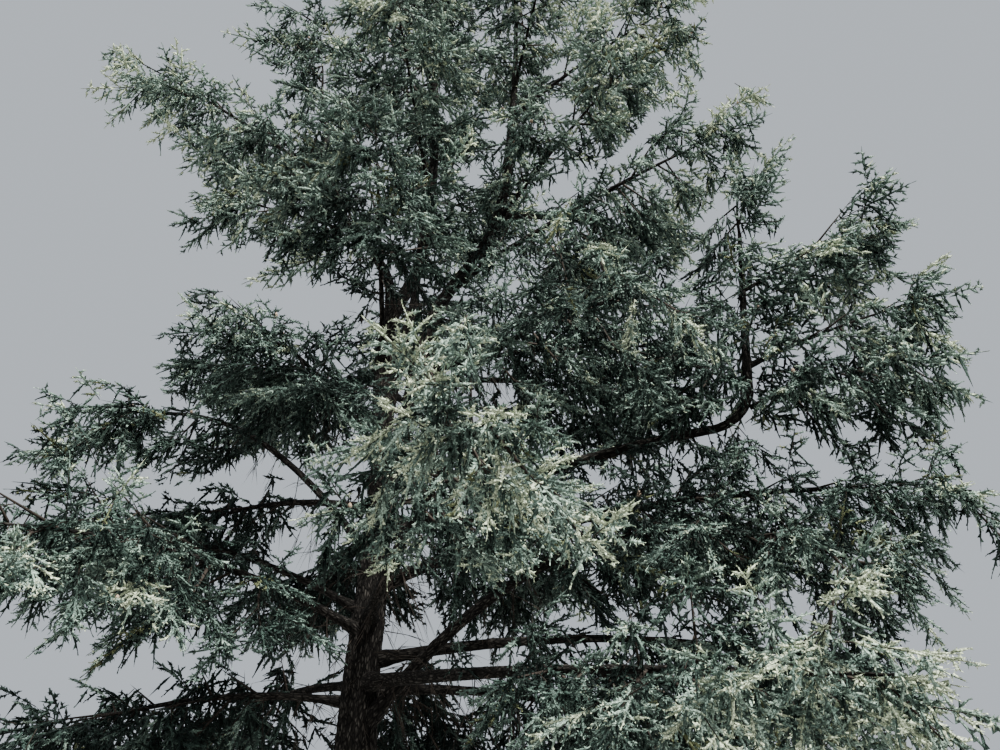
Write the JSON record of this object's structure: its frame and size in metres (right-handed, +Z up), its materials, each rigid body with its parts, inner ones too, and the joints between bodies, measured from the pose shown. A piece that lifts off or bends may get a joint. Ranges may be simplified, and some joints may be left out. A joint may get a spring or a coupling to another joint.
{
  "type": "blue atlas cedar tree",
  "caption": "Mature blue-green cedar with a forked trunk, long level boughs and flat drooping plates of needle foliage, rooted in level ground.",
  "frame": {"origin": "middle of the flat cut under the trunk, at ground level", "axes": "+Z up, +X to the right of the tree as the picture shows it, -Y towards the front, from where the picture was taken"},
  "size_m": [17.983, 18.0268, 25.5868],
  "materials": {
    "bark": "dark grey-brown fissured bark",
    "needles": "matt blue-green needles on short shoots"
  },
  "bodies": {
    "root": {"trunk": "bark", "right_leader": "bark", "left_leader": "bark", "back_leader": "bark", "right_riser": "bark", "right_arm": "bark", "right_low_bough": "bark", "right_under_bough": "bark", "right_outer_bough": "bark", "front_low_bough": "bark", "left_front_bough": "bark", "front_mid_bough": "bark", "right_low_foliage": "needles", "right_under_foliage": "needles", "right_outer_foliage": "needles", "right_side_foliage": "needles", "front_low_foliage": "needles", "left_front_foliage": "needles", "left_low_foliage": "needles", "left_mid_foliage": "needles", "left_long_foliage": "needles", "back_low_right_foliage": "needles", "back_low_foliage": "needles", "back_low_left_foliage": "needles", "front_mid_foliage": "needles", "left_upper_foliage": "needles", "front_left_mid_foliage": "needles", "back_mid_right_foliage": "needles", "back_mid_foliage": "needles", "back_mid_left_foliage": "needles", "left_back_mid_foliage": "needles", "riser_low_foliage": "needles", "riser_outer_foliage": "needles", "riser_upper_foliage": "needles", "right_back_upper_foliage": "needles", "back_upper_foliage": "needles", "back_left_upper_foliage": "needles", "right_high_foliage": "needles", "front_high_foliage": "needles", "front_right_high_foliage": "needles", "left_high_foliage": "needles", "front_left_high_foliage": "needles", "right_back_high_foliage": "needles", "back_high_foliage": "needles", "left_far_high_foliage": "needles", "front_top_foliage": "needles", "right_top_foliage": "needles", "left_back_top_foliage": "needles", "front_crown_foliage": "needles", "back_crown_foliage": "needles", "front_peak_foliage": "needles", "back_left_peak_foliage": "needles", "back_right_peak_foliage": "needles", "riser_inner_foliage": "needles", "right_inner_foliage": "needles", "top_foliage": "needles", "right_leader_top_foliage": "needles", "left_leader_top_foliage": "needles", "back_leader_top_foliage": "needles", "right_riser_top_foliage": "needles"}
  },
  "joints": []
}
